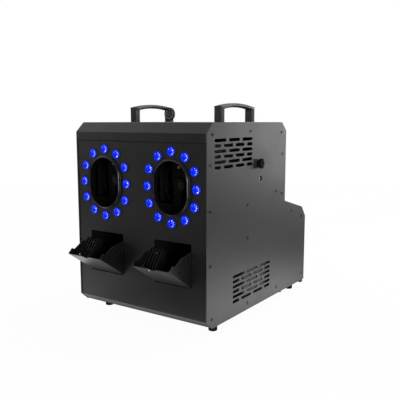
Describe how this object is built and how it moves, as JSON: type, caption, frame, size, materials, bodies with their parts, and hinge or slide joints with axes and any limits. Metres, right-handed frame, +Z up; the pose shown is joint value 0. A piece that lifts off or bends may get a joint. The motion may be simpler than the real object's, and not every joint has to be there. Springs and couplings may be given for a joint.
{
  "type": "bubble machine",
  "caption": "Stage fog and bubble machine: chamfered black steel cabinet with LED-ringed bubble outlets, hinged fog flaps below, top carry handles and a stepped rear tank box.",
  "frame": {"origin": "middle of the whole width and depth, under the rubber feet", "axes": "+Z up; the outlets and flaps face -Y; +X is to the right for a viewer who faces the outlets"},
  "size_m": [0.3876, 0.5612, 0.5005],
  "materials": {
    "cabinet_paint": "fine-textured satin black powder coat on folded sheet steel",
    "inner_sheet": "matte black paint on sheet steel",
    "moulded_plastic": "fine-grained black moulding",
    "handle_plastic": "semi-matte black moulding with a smooth grip",
    "led_lens": "clear faceted lens lit blue from behind",
    "circuit_board": "solder-masked board",
    "steel_parts": "turned and plated",
    "cast_aluminium": "as cast and machined",
    "brass_pipe": "drawn pipe, slightly heat tinted",
    "tank_plastic": "milky blow-moulded plastic",
    "wheel_plastic": "smooth black moulding",
    "display_window": "smoked clear window",
    "foot_rubber": "moulded rubber"
  },
  "bodies": {
    "root": {"base_plate": "cabinet_paint", "bubble_fluid_tank": "tank_plastic", "control_board": "circuit_board", "data_socket_in": "moulded_plastic", "data_socket_out": "moulded_plastic", "display_window": "display_window", "drain_plug": "moulded_plastic", "fan_frame_left": "moulded_plastic", "fan_frame_right": "moulded_plastic", "flap_pin_left": "steel_parts", "flap_pin_right": "steel_parts", "fluid_tray": "moulded_plastic", "fog_fluid_tank": "tank_plastic", "fog_heater": "cast_aluminium", "fog_manifold": "brass_pipe", "fog_pump": "steel_parts", "foot_front_left": "foot_rubber", "foot_front_right": "foot_rubber", "foot_rear_left": "foot_rubber", "foot_rear_right": "foot_rubber", "front_panel": "cabinet_paint", "handle_left": "handle_plastic", "handle_right": "handle_plastic", "led_board_left": "circuit_board", "led_board_right": "circuit_board", "led_lenses_left": "led_lens", "led_lenses_right": "led_lens", "mains_inlet": "moulded_plastic", "outlet_rim_left": "moulded_plastic", "outlet_rim_right": "moulded_plastic", "power_supply": "cast_aluminium", "rear_panel": "cabinet_paint", "rear_step_cover": "cabinet_paint", "shelf_plate": "inner_sheet", "side_panel_left": "cabinet_paint", "side_panel_right": "cabinet_paint", "top_cover": "cabinet_paint", "wheel_bracket_left": "inner_sheet", "wheel_bracket_right": "inner_sheet", "wheel_housing_left": "inner_sheet", "wheel_housing_right": "inner_sheet", "wheel_motor_left": "cast_aluminium", "wheel_motor_right": "cast_aluminium"},
    "flap_left": {"fog_flap_left": "cabinet_paint"},
    "flap_right": {"fog_flap_right": "cabinet_paint"},
    "knob_left": {"bracket_knob_left": "moulded_plastic"},
    "knob_right": {"bracket_knob_right": "moulded_plastic"},
    "wheel_left": {"bubble_wheel_left": "wheel_plastic", "wheel_shaft_left": "steel_parts"},
    "wheel_right": {"bubble_wheel_right": "wheel_plastic", "wheel_shaft_right": "steel_parts"},
    "fan_left": {"fan_rotor_left": "moulded_plastic"},
    "fan_right": {"fan_rotor_right": "moulded_plastic"},
    "fog_cap": {"fog_filler_cap": "moulded_plastic"},
    "bubble_cap": {"bubble_filler_cap": "moulded_plastic"},
    "button_1": {"menu_button_1": "moulded_plastic"},
    "button_2": {"menu_button_2": "moulded_plastic"},
    "button_3": {"menu_button_3": "moulded_plastic"},
    "button_4": {"menu_button_4": "moulded_plastic"},
    "rocker": {"power_switch": "moulded_plastic"}
  },
  "joints": [
    {"name": "flap_left_hinge", "type": "hinge", "parent": "root", "child": "flap_left", "pos_m": [-0.0952, -0.20262, 0.1116], "axis": [1, 0, 0], "range_deg": [-56, 10]},
    {"name": "knob_left_turn", "type": "hinge", "parent": "root", "child": "knob_left", "pos_m": [-0.185, 0.00958, 0.3621], "axis": [1, 0, 0], "continuous": true},
    {"name": "wheel_left_spin", "type": "hinge", "parent": "root", "child": "wheel_left", "pos_m": [-0.0952, -0.15543, 0.3232], "axis": [0, 1, 0], "continuous": true},
    {"name": "fan_left_spin", "type": "hinge", "parent": "root", "child": "fan_left", "pos_m": [-0.0952, -0.00543, 0.3402], "axis": [0, 1, 0], "continuous": true},
    {"name": "flap_right_hinge", "type": "hinge", "parent": "root", "child": "flap_right", "pos_m": [0.0952, -0.20262, 0.1116], "axis": [1, 0, 0], "range_deg": [-56, 10]},
    {"name": "knob_right_turn", "type": "hinge", "parent": "root", "child": "knob_right", "pos_m": [0.185, 0.00958, 0.3621], "axis": [1, 0, 0], "continuous": true},
    {"name": "wheel_right_spin", "type": "hinge", "parent": "root", "child": "wheel_right", "pos_m": [0.0952, -0.15543, 0.3232], "axis": [0, 1, 0], "continuous": true},
    {"name": "fan_right_spin", "type": "hinge", "parent": "root", "child": "fan_right", "pos_m": [0.0952, -0.00543, 0.3402], "axis": [0, 1, 0], "continuous": true},
    {"name": "fog_cap_turn", "type": "hinge", "parent": "root", "child": "fog_cap", "pos_m": [-0.132, 0.20258, 0.24463], "axis": [0, 0.2577, 0.9662], "continuous": true},
    {"name": "bubble_cap_turn", "type": "hinge", "parent": "root", "child": "bubble_cap", "pos_m": [-0.046, 0.20258, 0.24463], "axis": [0, 0.2577, 0.9662], "continuous": true},
    {"name": "button_1_press", "type": "slide", "parent": "root", "child": "button_1", "axis": [0, -1, 0], "range_m": [0, 0.0015]},
    {"name": "button_2_press", "type": "slide", "parent": "root", "child": "button_2", "axis": [0, -1, 0], "range_m": [0, 0.0015]},
    {"name": "button_3_press", "type": "slide", "parent": "root", "child": "button_3", "axis": [0, -1, 0], "range_m": [0, 0.0015]},
    {"name": "button_4_press", "type": "slide", "parent": "root", "child": "button_4", "axis": [0, -1, 0], "range_m": [0, 0.0015]},
    {"name": "rocker_tilt", "type": "hinge", "parent": "root", "child": "rocker", "pos_m": [0.143, 0.27387, 0.0895], "axis": [1, 0, 0], "range_deg": [-16, 0]}
  ]
}
